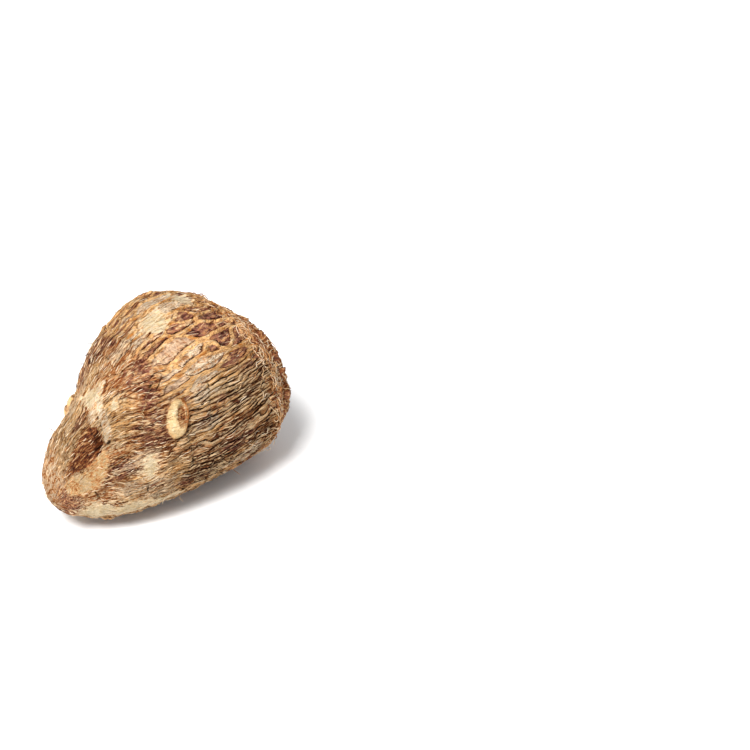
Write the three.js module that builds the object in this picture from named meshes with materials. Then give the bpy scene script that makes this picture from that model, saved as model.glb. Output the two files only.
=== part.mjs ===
// A cocoyam corm, the starchy swollen stem of a taro plant, which shops sell as a yam.
//
// It is one solid. It lies on its side on the plane z = 0, as a loose corm comes to rest, with its
// narrow tip towards -X and its crown, where the leaves grew, towards +X. Millimetres, +Z up.
//
// The skin is one surface of two parameters:
//   along   0 at the tip's end to 1 at the crown's end, in equal steps of length over the skin
//   around  the angle round the axis in radians: 0 on top, a quarter turn on the -Y side

import * as THREE from "three";

// ---- driving dimensions, in millimetres and degrees ----

const LENGTH = 121; // tip to crown, along the axis
const AXIS_RISE = 10; // how far the axis climbs from the tip to the crown
const AXIS_BOW = 7.5; // how far the axis bows upwards half way along
const PRESSED_FLAT = 1.1; // depth of the belly that its own weight has worn flat

// The outline of one side: [distance along the axis, radius]. The curve runs through them all.
const OUTLINE = [
  [0, 0],
  [2, 5.9],
  [9.5, 14.8],
  [25, 25.2],
  [46, 35.3],
  [67, 40.4],
  [86, 41.7],
  [102, 38.1],
  [113.5, 29.8],
  [120, 17.3],
  [LENGTH, 0],
];

// The section isn't round: it is flatter from top to bottom by this share of the radius.
const FLATTER = 0.06;

// Broad swells and waists of the body, each by its place over the skin and its reach both ways.
const SWELLS = [
  { length: 50, around: -60, reach: 18, turn: 38, height: -6.5 }, // the waist behind the tip
  { length: 109, around: -45, reach: 18, turn: 38, height: 4.8 }, // the shoulder
  { length: 132, around: 50, reach: 18, turn: 38, height: 1.8 }, // the crown's near side
  { length: 36, around: 120, reach: 18, turn: 38, height: 2.3 }, // the belly behind the tip
  { length: 88, around: -118, reach: 15, turn: 30, height: -1.6 }, // a dent in the far side
  { length: 124, around: -135, reach: 16, turn: 34, height: 1.5 }, // the crown's far side
];

// Leaf scars ring the corm. Each is a low ridge, placed by its distance over the skin from the tip.
const SCAR_RINGS = [13, 25, 36, 47, 57, 67, 78, 89, 100, 109];
const SCAR_HEIGHT = 0.45;
const SCAR_WIDTH = 1.9;
const RING_LEAN_UP = 10; // the rings lean: their top is this much nearer the crown
const RING_LEAN_SIDE = 4; // and their -Y side this much nearer the tip

// The shoulder carries the thick rim of old leaf bases, and two thinner sheaths close in above it.
const SHEATHS = [
  { at: 117, height: 1.5, width: 3.4 },
  { at: 130, height: 1.1, width: 2.6 },
  { at: 141, height: 0.8, width: 2.2 },
];

// Side buds sit on the scar rings. A bud is a low swelling with a shallow cup on its crown side.
const BUDS = [
  { ring: 66.5, around: 57, length: 14, width: 8.5, height: 2.6 },
  { ring: 89, around: 196, length: 10, width: 7, height: 1.8 },
  { ring: 47, around: 282, length: 11, width: 8, height: 2.2 },
  { ring: 100, around: 318, length: 9, width: 7, height: 1.6 },
  { ring: 36, around: 150, length: 9, width: 6, height: 1.4 },
];
const CUP_SHARE = 0.75; // a cup's depth, as a share of its bud's height

// An old shoot left a hollow near the tip, with a raised lip round its crown side.
const HOLLOW = { ring: 27, around: 23, length: 14, width: 20, depth: 2.6 };
const LIP = { ring: 40.5, around: 17, length: 20, width: 7.5, height: 1.7 };

// The cut leaf stalks stand as a low stump in a shallow basin at the crown's end.
const STUMP = { radius: 7, height: 3.6, edge: 5, dish: 1 };
const BASIN = { radius: 16, width: 7, depth: 1.3 };
const TIP_SCAR = { radius: 6, depth: 0.9 }; // where it broke from its parent plant

// The grid of the skin.
const COLUMNS = 64; // round the axis
const ROWS = 66; // from tip to crown
const OUTLINE_STEPS = 600; // how finely the outline's length is measured

// ---- the outline, as a curve by length ----

// A mirrored point past each end makes the curve cross the axis squarely.
const mirrored = ([distance, radius]) => [distance, -radius];
const outline = new THREE.SplineCurve(
  [mirrored(OUTLINE[1]), ...OUTLINE, mirrored(OUTLINE.at(-2))].map(
    ([distance, radius]) => new THREE.Vector2(distance, radius),
  ),
);
const SPANS = OUTLINE.length + 1; // spans of the curve, the two mirrored ones included

// The part of the curve from end to end of the corm, as points and their lengths from the tip.
const outlinePoints = Array.from({ length: OUTLINE_STEPS + 1 }, (_, i) =>
  outline.getPoint((1 + (i / OUTLINE_STEPS) * (SPANS - 2)) / SPANS),
);
const outlineLengths = [0];
for (let i = 1; i < outlinePoints.length; i++) {
  const step = outlinePoints[i].distanceTo(outlinePoints[i - 1]);
  outlineLengths.push(outlineLengths[i - 1] + step);
}
const SKIN_LENGTH = outlineLengths.at(-1);

// The outline's point and outward normal at a length over the skin from the tip.
function outlineAt(length) {
  let i = outlineLengths.findIndex((l) => l >= length);
  i = THREE.MathUtils.clamp(i, 1, OUTLINE_STEPS);
  const before = outlinePoints[i - 1];
  const after = outlinePoints[i];
  const share =
    (length - outlineLengths[i - 1]) / (outlineLengths[i] - outlineLengths[i - 1]);
  const tangent = after.clone().sub(before).normalize();
  return {
    point: before.clone().lerp(after, share),
    normal: new THREE.Vector2(-tangent.y, tangent.x),
  };
}

// ---- the relief of the skin ----

const bell = (distance, width) => Math.exp(-((distance / width) ** 2));

// The shortest turn between two angles, in radians.
function turn(a, b) {
  return Math.atan2(Math.sin(a - b), Math.cos(a - b));
}

// The skin's length from the tip as the leaning rings count it.
function ringLength(length, around) {
  const lean = RING_LEAN_UP * Math.cos(around) - RING_LEAN_SIDE * Math.sin(around);
  return length - lean * Math.sin((Math.PI * length) / SKIN_LENGTH);
}

// An oval bell over the skin, longer round the corm than along it.
function oval(spot, ringed, around, radius, shift = 0) {
  const across = turn(around, THREE.MathUtils.degToRad(spot.around)) * radius;
  return bell(ringed - spot.ring - shift, spot.width / 2) * bell(across, spot.length / 2);
}

// Height of the skin over the smooth body.
function relief(length, around, radius) {
  const ringed = ringLength(length, around);
  let height = 0;
  for (const swell of SWELLS) {
    const turned = turn(around, THREE.MathUtils.degToRad(swell.around));
    const sideways = bell(turned, THREE.MathUtils.degToRad(swell.turn));
    height += swell.height * bell(length - swell.length, swell.reach) * sideways;
  }
  for (const at of SCAR_RINGS) height += SCAR_HEIGHT * bell(ringed - at, SCAR_WIDTH);
  for (const sheath of SHEATHS)
    height += sheath.height * bell(ringed - sheath.at, sheath.width);
  for (const bud of BUDS) {
    const cup = CUP_SHARE * oval(bud, ringed, around, radius, bud.width * 0.4);
    height += bud.height * (oval(bud, ringed, around, radius) - cup);
  }
  height -= HOLLOW.depth * oval(HOLLOW, ringed, around, radius);
  height += LIP.height * oval(LIP, ringed, around, radius);
  const fromCrown = SKIN_LENGTH - length;
  const onStump = THREE.MathUtils.smoothstep(
    STUMP.radius + STUMP.edge - fromCrown,
    0,
    STUMP.edge,
  );
  height += STUMP.height * onStump - STUMP.dish * bell(fromCrown, STUMP.radius / 2);
  height -= BASIN.depth * bell(fromCrown - BASIN.radius, BASIN.width);
  height -= TIP_SCAR.depth * bell(length, TIP_SCAR.radius);
  return height;
}

// ---- the skin ----

// Point of the skin before it is set down on its belly.
function skin(along, around) {
  const length = along * SKIN_LENGTH;
  const { point, normal } = outlineAt(length);
  const height = relief(length, around, point.y);
  const distance = point.x + normal.x * height;
  const section = 1 - FLATTER * Math.cos(2 * around);
  const radius = point.y * section + normal.y * height;
  const bow = AXIS_BOW * Math.sin(Math.PI * THREE.MathUtils.clamp(distance / LENGTH, 0, 1));
  const up = radius * Math.cos(around) + bow;
  const side = -radius * Math.sin(around);
  const rise = THREE.MathUtils.degToRad(AXIS_RISE);
  return new THREE.Vector3(
    distance * Math.cos(rise) - up * Math.sin(rise),
    side,
    distance * Math.sin(rise) + up * Math.cos(rise),
  );
}

// A sphere's grid of faces, with each vertex moved to its place on the skin. The sphere's first
// row is the crown, which keeps the faces pointing outwards.
function cormGeometry() {
  const geometry = new THREE.SphereGeometry(1, COLUMNS, ROWS);
  const position = geometry.getAttribute("position");
  for (let i = 0; i < position.count; i++) {
    const row = Math.floor(i / (COLUMNS + 1));
    const column = i % (COLUMNS + 1) % COLUMNS;
    const atPole = row === 0 || row === ROWS;
    const around = atPole ? 0 : (column / COLUMNS) * 2 * Math.PI;
    const p = skin(1 - row / ROWS, around);
    position.setXYZ(i, p.x, p.y, p.z);
  }
  return geometry;
}

// Sets the corm down: its belly is flat at z = 0, and the middle of its box is over the origin.
function setDown(geometry) {
  geometry.computeBoundingBox();
  geometry.translate(0, 0, -geometry.boundingBox.min.z - PRESSED_FLAT);
  const position = geometry.getAttribute("position");
  for (let i = 0; i < position.count; i++)
    position.setZ(i, Math.max(0, position.getZ(i)));
  geometry.computeBoundingBox();
  const middle = geometry.boundingBox.getCenter(new THREE.Vector3());
  geometry.translate(-middle.x, -middle.y, 0);
  geometry.computeVertexNormals();
  return geometry;
}

const skinMaterial = new THREE.MeshStandardMaterial({
  color: new THREE.Color(0.55, 0.38, 0.21),
  roughness: 0.85,
  metalness: 0,
});

const corm = new THREE.Mesh(setDown(cormGeometry()), skinMaterial);
corm.name = "yam_corm";

const part = new THREE.Group();
part.add(corm);

export default part;
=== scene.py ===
# %% [markdown]
# # A whole cocoyam corm, sold as yam
#
# The object is one grown body: the swollen, starchy stem of a taro-like plant. Rings of leaf scars run
# round it, side buds sit on the rings, and its crown end carries the stubs of old leaf bases. It lies on
# its side. All the lengths here are in millimetres until a mesh is made, because that is how the packed
# model's own driving sizes are written.
#
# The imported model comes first. It is the frame that every piece is fitted to.

# %% Load the frame
import itertools
import math

import bpy
import numpy as np
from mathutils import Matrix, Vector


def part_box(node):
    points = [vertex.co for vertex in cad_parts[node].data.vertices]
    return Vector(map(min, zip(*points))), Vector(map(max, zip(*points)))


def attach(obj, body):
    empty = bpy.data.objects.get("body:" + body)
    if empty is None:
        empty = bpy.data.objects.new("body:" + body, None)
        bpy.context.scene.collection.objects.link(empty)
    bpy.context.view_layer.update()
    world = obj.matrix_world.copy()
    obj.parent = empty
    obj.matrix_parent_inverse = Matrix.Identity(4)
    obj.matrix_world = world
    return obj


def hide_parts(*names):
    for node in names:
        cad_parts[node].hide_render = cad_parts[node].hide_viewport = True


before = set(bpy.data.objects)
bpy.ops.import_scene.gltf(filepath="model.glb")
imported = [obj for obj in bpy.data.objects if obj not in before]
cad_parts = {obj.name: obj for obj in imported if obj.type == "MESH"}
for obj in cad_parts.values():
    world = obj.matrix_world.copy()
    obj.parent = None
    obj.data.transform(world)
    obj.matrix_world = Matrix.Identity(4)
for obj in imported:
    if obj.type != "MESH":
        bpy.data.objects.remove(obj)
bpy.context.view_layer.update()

METRES = 0.001  # one millimetre in metres
NODE = "yam_corm"
node_low, node_high = (np.array(corner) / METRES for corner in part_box(NODE))
print("the corm's box, in millimetres:", node_low.round(1), node_high.round(1))

# %% [markdown]
# ## The plain body
#
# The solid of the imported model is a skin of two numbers: the length over the skin from the tip, and the
# turn round the axis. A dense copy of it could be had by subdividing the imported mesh, but then the fine
# wrinkles would follow its coarse faces. Working the same formula out again on a fine grid gives clean
# rows along the corm and columns round it, and both numbers stay at hand for the wrinkles and the colours.

# %% The driving sizes of the body
LENGTH = 121
AXIS_RISE = 10
AXIS_BOW = 7.5
PRESSED_FLAT = 1.1
FLATTER = 0.06
OUTLINE = [
    (0, 0), (2, 5.9), (9.5, 14.8), (25, 25.2), (46, 35.3), (67, 40.4),
    (86, 41.7), (102, 38.1), (113.5, 29.8), (120, 17.3), (LENGTH, 0),
]
# Broad swells: length over the skin, turn, reach along, reach round in degrees, height.
SWELLS = [
    (50, -60, 18, 38, -6.5), (109, -45, 18, 38, 4.8), (132, 50, 18, 38, 1.8),
    (36, 120, 18, 38, 2.3), (88, -118, 15, 30, -1.6), (124, -135, 16, 34, 1.5),
]
SCAR_RINGS = [13, 25, 36, 47, 57, 67, 78, 89, 100, 109]
SCAR_HEIGHT, SCAR_WIDTH = 0.45, 1.9
RING_LEAN_UP, RING_LEAN_SIDE = 10, 4
SHEATHS = [(117, 1.5, 3.4), (130, 1.1, 2.6), (141, 0.8, 2.2)]  # ring, height, width
# Side buds: ring, turn, length round, width along, height.
BUDS = [
    (66.5, 57, 14, 8.5, 2.6), (89, 196, 10, 7, 1.8), (47, 282, 11, 8, 2.2),
    (100, 318, 9, 7, 1.6), (36, 150, 9, 6, 1.4),
]
CUP_SHARE = 0.75
HOLLOW = (27, 23, 14, 20, 2.6)  # ring, turn, length round, width along, depth
LIP = (40.5, 17, 20, 7.5, 1.7)  # the same, and its height
STUMP_RADIUS, STUMP_HEIGHT, STUMP_EDGE, STUMP_DISH = 7, 3.6, 5, 1
BASIN_RADIUS, BASIN_WIDTH, BASIN_DEPTH = 16, 7, 1.3
TIP_SCAR_RADIUS, TIP_SCAR_DEPTH = 6, 0.9

# %% The grid of the skin
ROWS, COLUMNS = 170, 584  # steps from tip to crown, and steps round


def outline_curve(points, steps=600):
    """A smooth curve through all the points, each span a cubic whose slope at a point follows its two
    neighbours. A mirrored point past each end makes the curve cross the axis squarely."""
    points = np.array(points, float)
    ends = points[[1, -2]] * (1, -1)
    chain = np.vstack([ends[:1], points, ends[1:]])
    place = 1 + np.linspace(0, 1, steps + 1) * (len(chain) - 3)
    span = np.minimum(place.astype(int), len(chain) - 3)
    t = (place - span)[:, None]
    before, start, stop, after = (chain[span + away] for away in (-1, 0, 1, 2))
    lean_in, lean_out = (stop - before) / 2, (after - start) / 2
    cubic = 2 * start - 2 * stop + lean_in + lean_out
    square = -3 * start + 3 * stop - 2 * lean_in - lean_out
    return ((cubic * t + square) * t + lean_in) * t + start


curve = outline_curve(OUTLINE)
curve_lengths = np.append(0, np.cumsum(np.hypot(*np.diff(curve, axis=0).T)))
SKIN_LENGTH = curve_lengths[-1]

lengths = np.linspace(0, SKIN_LENGTH, ROWS + 1)[:, None] + np.zeros(COLUMNS)
turns = np.zeros((ROWS + 1, 1)) + np.arange(COLUMNS) * 2 * np.pi / COLUMNS
row_step = SKIN_LENGTH / ROWS
print("length over the skin:", round(SKIN_LENGTH, 1), "mm, in steps of", round(row_step, 2))

# %% [markdown]
# ## Small shapes to build with
#
# Nearly every form on the skin is a bell: one at its middle, fading smoothly to nothing. A spot is a bell
# both along the corm and round it. Irregular things need noise, which is random numbers on a lattice,
# blended smoothly in between. Noise that is stretched along the corm looks like fibre and bark.

# %% Bells, steps and spots


def bell(distance, width):
    """One at no distance, falling off as e to the minus square of distance over width."""
    return np.exp(-((distance / width) ** 2))


def vectors(*parts):
    """Arrays side by side as the parts of one array of vectors."""
    return np.stack(np.broadcast_arrays(*parts), axis=-1)


def unit(vector):
    """Vectors of length one in the same directions."""
    return vector / np.maximum(np.linalg.norm(vector, axis=-1, keepdims=True), 1e-9)


def step(value, low, high):
    """Zero below low, one above high, and 3t^2 - 2t^3 in between."""
    t = np.clip((value - low) / (high - low), 0, 1)
    return t * t * (3 - 2 * t)


def turned(angle, degrees):
    """The shortest turn from an angle given in degrees, in radians."""
    away = angle - math.radians(degrees)
    return np.arctan2(np.sin(away), np.cos(away))


def radius_at(length):
    """The radius of the plain outline at a length over the skin."""
    return np.interp(length, curve_lengths, curve[:, 1])


def lean(length, angle):
    """How much nearer the crown a leaf scar is at a turn than it is all round on the average. The lean is
    full half way along the corm, and fades to none at both ends."""
    leaning = RING_LEAN_UP * np.cos(angle) - RING_LEAN_SIDE * np.sin(angle)
    return leaning * np.sin(np.pi * length / SKIN_LENGTH)


rings = lengths - lean(lengths, turns)  # a length as the leaning rings count it
radii = np.maximum(radius_at(lengths), 0)


def spot(ring, degrees, round_length, along_width, shift=0):
    """An oval bell over the skin: a bell of the ring's distance times a bell of the arc round the corm."""
    across = turned(turns, degrees) * radii
    return bell(rings - ring - shift, along_width / 2) * bell(across, round_length / 2)


# %% Lattice noise
LATTICE = 32


def noise(points, seed):
    """Smooth noise from -1 to 1 at an array of points: random numbers on a lattice of whole numbers,
    blended along each direction by 6t^5 - 15t^4 + 10t^3."""
    table = np.random.default_rng(seed).uniform(-1, 1, (LATTICE,) * 3)
    cell = np.floor(points).astype(int)
    t = points - cell
    t = t**3 * (t * (t * 6 - 15) + 10)
    total = 0
    for corner in itertools.product((0, 1), repeat=3):
        at = (cell + corner) % LATTICE
        weight = np.where(corner, t, 1 - t).prod(axis=-1)
        total += weight * table[at[..., 0], at[..., 1], at[..., 2]]
    return total


# %% The grain of the skin
GRAIN_RADIUS = 30


def grain_of(length, angle, radius):
    """Where a point lies in the grain: a tube round the axis whose radius is the geometric mean of the
    corm's own and a fixed one, so that the grain narrows towards both ends without closing up."""
    tube = np.sqrt(radius * GRAIN_RADIUS)
    return vectors(tube * np.cos(angle), tube * np.sin(angle), length)


# The grain wanders a little everywhere, and on the near side it sweeps down towards the crown.
SWEEP, SWEEP_MIDDLE, SWEEP_REACH = 0.55, 52, 0.85  # radians, degrees, radians
SWEEP_STARTS, SWEEP_ENDS = 12, 84  # lengths over the skin
wander = 0.075 * noise(grain_of(lengths, turns, radii) / (26, 26, 21), 3)
sweep = SWEEP * step(lengths, SWEEP_STARTS, SWEEP_ENDS)
sway = wander - sweep * bell(turned(turns, SWEEP_MIDDLE), SWEEP_REACH)
swayed_turns = turns + sway
grain = grain_of(lengths, swayed_turns, radii)


def streaks(across, along, seed, octaves=2):
    """Noise that is stretched along the corm. Each finer octave has half the size and half the height."""
    total = 0
    for octave in range(octaves):
        size = np.array([across, across, along]) / 2**octave
        total += noise(grain / size + 7.3 * octave, seed + octave) / 2**octave
    return total


# %% The plain relief


def plain_relief():
    """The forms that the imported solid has: swells, scar rings, sheaths, buds, the old shoot's hollow with
    its lip, the stump in its basin, and the scar at the tip."""
    height = 0
    for length, degrees, reach, reach_round, swell in SWELLS:
        sideways = bell(turned(turns, degrees), math.radians(reach_round))
        height += swell * bell(lengths - length, reach) * sideways
    for ring in SCAR_RINGS:
        height += SCAR_HEIGHT * bell(rings - ring, SCAR_WIDTH)
    for ring, rim, width in SHEATHS:
        height += rim * bell(rings - ring, width)
    for ring, degrees, long, wide, rise in BUDS:
        cup = CUP_SHARE * spot(ring, degrees, long, wide, shift=0.4 * wide)
        height += rise * (spot(ring, degrees, long, wide) - cup)
    height = height - HOLLOW[4] * spot(*HOLLOW[:4]) + LIP[4] * spot(*LIP[:4])
    from_crown = SKIN_LENGTH - lengths
    on_stump = step(STUMP_RADIUS + STUMP_EDGE - from_crown, 0, STUMP_EDGE)
    height = height + STUMP_HEIGHT * on_stump - STUMP_DISH * bell(from_crown, STUMP_RADIUS / 2)
    height -= BASIN_DEPTH * bell(from_crown - BASIN_RADIUS, BASIN_WIDTH)
    return height - TIP_SCAR_DEPTH * bell(lengths, TIP_SCAR_RADIUS)


def skin(height):
    """Points of the skin: the outline's point, moved out along its normal by the height, swung round the
    bowed axis, and tilted by the axis's rise."""
    tangent = np.diff(curve, axis=0)
    tangent = tangent / np.hypot(*tangent.T)[:, None]
    middle = (curve_lengths[1:] + curve_lengths[:-1]) / 2
    normal_along = np.interp(lengths, middle, -tangent[:, 1])
    normal_out = np.interp(lengths, middle, tangent[:, 0])
    distance = np.interp(lengths, curve_lengths, curve[:, 0]) + normal_along * height
    radius = radii * (1 - FLATTER * np.cos(2 * turns)) + normal_out * height
    up = radius * np.cos(turns) + AXIS_BOW * np.sin(np.pi * np.clip(distance / LENGTH, 0, 1))
    rise = math.radians(AXIS_RISE)
    points = vectors(
        distance * math.cos(rise) - up * math.sin(rise),
        -radius * np.sin(turns),
        distance * math.sin(rise) + up * math.cos(rise),
    )
    points[[0, -1]] = points[[0, -1], :1]
    return points


plain = skin(plain_relief())
low, high = plain.min(axis=(0, 1)), plain.max(axis=(0, 1))
to_frame = (node_low + node_high - low - high) / 2
to_frame[2] = -low[2] - PRESSED_FLAT
print("the plain skin's box matches to", np.abs(high + to_frame - node_high).max().round(2), "mm")

# %% [markdown]
# ## Where the skin differs
#
# A corm's skin isn't the same all over. It is fibrous and purple-brown where young leaves sat, it flakes
# to a speckled white cork in places, and it has rubbed through to a smooth cream where it knocked against
# other corms. One picture of the whole skin could say so, but a few named patches, each a place with a
# length and a width, are easier to move and to read. A patch is a bell here, with no edge: the relief and
# the colours each draw its edge through their own fibres.

# %% Patches of the skin
# Each patch: ring, turn, half its length along the corm, half its width round it.
PATCHES = {
    "cream": [
        (40, -4, 4.5, 7), (45, -3, 3, 2.2), (44.5, 20, 1.6, 2.4), (82, -7, 7, 7), (48.5, 77, 4, 4.5),
        (24, 110, 9, 6), (40, 114, 12, 5), (58, 118, 10, 2.5), (104, -15, 4, 5), (60, 168, 9, 6),
        (96, 205, 8, 5), (30, 215, 6, 7), (74, 250, 7, 5), (110, 268, 4, 6),
    ],
    "honeyed": [
        (29, 47, 3, 3.5), (26, 54, 3.5, 4), (22, 57, 3.5, 4), (18, 54, 3, 4), (14, 46, 3, 3.5),
        (22, 190, 6, 4),
    ],
    "flaked": [
        (81, 36, 11, 9), (71, 30, 5, 5), (77, 24, 8, 5), (87, 32, 6, 4), (78, 50, 7, 5), (78, 70, 5, 3),
        (46, 69, 11, 5), (84, 4, 4, 4), (97, -6, 6, 5), (86, -24, 6, 6), (52, 98, 10, 5), (38, 86, 9, 3),
        (17, 34, 3, 4), (66, 190, 12, 8), (90, 235, 10, 9), (52, 262, 9, 8), (84, 300, 9, 7),
        (40, -34, 9, 7), (100, 110, 9, 5), (66, -8, 9, 5),
    ],
    "purple": [
        (108, 25, 12, 22), (109, -16, 8, 12), (105, 43, 6, 5), (74, -72, 24, 7), (61, 16, 9, 7),
        (58, 37, 5, 4), (56, 54, 10, 7), (74, -31, 16, 6), (82, -34, 9, 5), (10.5, 82, 5, 8.5),
        (60, -48, 14, 9), (30, -4, 4, 2.5), (106, 140, 12, 14), (72, 150, 13, 10), (100, 240, 12, 16),
        (46, 232, 12, 9), (80, 275, 14, 9), (62, 310, 13, 9), (17, 250, 7, 10), (92, 92, 9, 4),
        (112, -20, 8, 10), (34, 66, 9, 3), (72, 104, 10, 3), (88, 62, 3, 2),
    ],
    "rusty": [
        (48, 10, 16, 16), (60, -10, 10, 12), (38, 40, 9, 7), (56, -60, 10, 8), (84, 88, 18, 9),
        (70, 170, 14, 14), (44, 240, 14, 12), (92, 280, 12, 12), (26, 76, 7, 5),
    ],
    "golden": [
        (86, -22, 9, 9), (94, -4, 9, 8), (90, 10, 5, 4), (94, 48, 11, 10), (24, -18, 10, 8),
        (44, -30, 10, 6), (42, 27, 7, 8), (30, 20, 5, 4), (104, 54, 10, 9), (112, 60, 6, 7),
        (97, 66, 8, 6), (74, 72, 8, 5), (62, 90, 7, 5), (50, 100, 11, 6), (43, 90, 8, 4),
        (60, 144, 12, 9), (90, 178, 12, 10), (80, 248, 12, 9), (100, 300, 10, 9), (40, 290, 10, 8),
        (86, 112, 12, 6), (80, 52, 6, 6),
    ],
}


def strongest_of(places):
    """The strongest of the bells of several patches. A bell is one half at about the size given."""
    strongest = np.zeros_like(lengths)
    for ring, degrees, half_length, half_width in places:
        strongest = np.maximum(strongest, spot(ring, degrees, 2.4 * half_width, 2.4 * half_length))
    return strongest


patched = {name: strongest_of(places) for name, places in PATCHES.items()}
for name, field in patched.items():
    print(f"{name} skin covers {(field > 0.5).mean():.0%} of the grid")
cream, honeyed, flaked, purple = (patched[name] for name in ("cream", "honeyed", "flaked", "purple"))
crown = step(rings + 4 * streaks(2.4, 9, 240) + 2 * streaks(9, 9, 242), 118, 128)
tip = 1 - step(lengths + 3 * streaks(4, 6, 250) - 9 * bell(turned(turns, -35), 0.7), 9, 19)

# %% [markdown]
# ## Buds
#
# A side bud is a swollen, pale bean with a cup let into its crown side, in which the young shoot lies
# rolled up. The cup leaves a thick lid on the tip's side and only a thin rim on the other. Buds are worked
# out before the folds, which flow round them. The colours need the bean's own two directions, so that its
# edge can be drawn sharper than the grid is.

# %% Beans and cups of the buds
# The first bud's bean is rubbed pale. The others are still brown, lower, and broken in places.
CUP_AWAY, CUP_WIDE, CUP_LONG = 0.36, 0.5, 0.64  # the cup's middle and half sizes, as shares of the bean's
BEAN_LEAN = 0.26  # how far a bean leans towards the crown over half its length
bud_place = np.full((*lengths.shape, 3), 3.0)
nearest_bud = np.full_like(lengths, 3)
on_bud, bud_height, flow = (np.zeros_like(lengths) for _ in range(3))
for number, (ring, degrees, long, wide, rise) in enumerate(BUDS):
    round_bud = turned(turns, degrees) * radii / (0.49 * long)
    along_bud = (rings - ring + 0.1 * wide) / (0.68 * wide) + BEAN_LEAN * round_bud
    uneven = 0.06 * streaks(3, 4, 330 + number) * (1.5 if number else 0.6)
    from_middle = np.hypot(along_bud, round_bud) + uneven
    from_cup = np.hypot((along_bud - CUP_AWAY) / CUP_WIDE, round_bud / CUP_LONG) + uneven
    unbroken = 1 if number == 0 else step(streaks(4, 4, 336 + number), -0.5, 0.3)
    bean = np.sqrt(np.clip((1.06 - from_middle) / 0.5, 0, 1)) * step(from_cup, 0.82, 1.12)
    cup = 1 - step(from_cup, 0.85, 1.05)
    coil = from_cup * 1.8 + np.arctan2(round_bud, along_bud - CUP_AWAY) / (2 * np.pi)
    coil = 2 * np.abs(coil - np.round(coil))
    bowl = np.sqrt(np.clip(1.1 - from_cup**2, 0, 1))
    cup_depth = 0.3 * rise * bowl - (0.2 if number else 0.6) * coil
    bud_height = bud_height + rise * 0.68 * bean * unbroken - cup * cup_depth
    bud_height -= 0.5 * bell(from_middle - 1.18, 0.1) * (1 - cup)
    on_bud = np.maximum(on_bud, 1 - step(from_middle, 0.98, 1.12))
    nearer = from_middle < nearest_bud
    nearest_bud = np.where(nearer, from_middle, nearest_bud)
    rubbed = unbroken * (1 if number == 0 else 0.3)
    bud_place = np.where(nearer[..., None], vectors(along_bud, round_bud, rubbed), bud_place)
    flow -= 0.6 * turned(turns, degrees) * bell(from_middle, 1.7)
print("buds cover", f"{(on_bud > 0.5).mean():.1%}", "of the grid")

# %% [markdown]
# ## Folds
#
# Dried skin folds into long ridges with dark, narrow grooves between them, which wander, join and part
# like the grooves of bark. Lines drawn one by one would never meet so naturally. Here the skin is counted
# off into folds round the corm, as a clock counts hours, and the count is warped by streaky noise. Every
# whole number is then a groove that runs from tip to crown, and where the warp is steep two grooves meet.

# %% Counting the folds
column_step = np.maximum(radii, 3) * 2 * np.pi / COLUMNS
sway_round = (np.roll(sway, -1, axis=1) - np.roll(sway, 1, axis=1)) / (4 * np.pi / COLUMNS)
grain_heading = np.arctan(-np.gradient(sway, axis=0) / row_step * radii / (1 + sway_round))


def count_folds(number, warp, across, along, seed):
    """Returns how many folds lie between the top of the corm and a point, how wide they are there, and how
    far the nearest groove is. The count is the turn as a share of the circle, times the number of folds,
    and noise that is worth so many folds. The width is one over the slope of the count. Past the top of
    the corm the count starts again, so whole rounds are taken off its change."""
    share = (swayed_turns + flow) / (2 * np.pi)
    count = share * number + warp * streaks(across, along, seed, 3)
    change = np.roll(count, -1, axis=1) - np.roll(count, 1, axis=1)
    change -= np.round(change / number) * number
    slope = np.hypot(np.gradient(count, axis=0) / row_step, change / (2 * column_step))
    width = 1 / np.maximum(slope, 0.1)
    return count, width, np.abs(count - np.round(count)) * width


def strip_tones(count, number, along, seed):
    """Each strip between two grooves has a tone of its own, which changes slowly along it."""
    strip = np.floor(count) % number
    return noise(vectors(strip * 3.7 + 0.5, lengths / along, strip * 1.3), seed)


FOLDS, FINE_FOLDS = 94, 168
folds, width, from_fold = count_folds(FOLDS, 1.5, 9, 23, 200)
fine_folds, fine_width, from_fine_fold = count_folds(FINE_FOLDS, 1.6, 5, 13, 210)
strips = strip_tones(folds, FOLDS, 9, 230)
fine_tones = strip_tones(fine_folds, FINE_FOLDS, 5, 214)
print("half the folds are under", np.median(width[ROWS // 3 : -ROWS // 5]).round(1), "mm wide")

# %% [markdown]
# ## The net
#
# Over the crown's half, on the upper side and again under the far side, the folds are crossed by others
# and leave a net of golden cords round long meshes. Scattered points, each owning the skin that is nearest
# to it, make such a net: its cords lie where two points are equally near. The points are scattered in a
# space that is squeezed along the corm, so the meshes come out long.

# %% Cells


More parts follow.
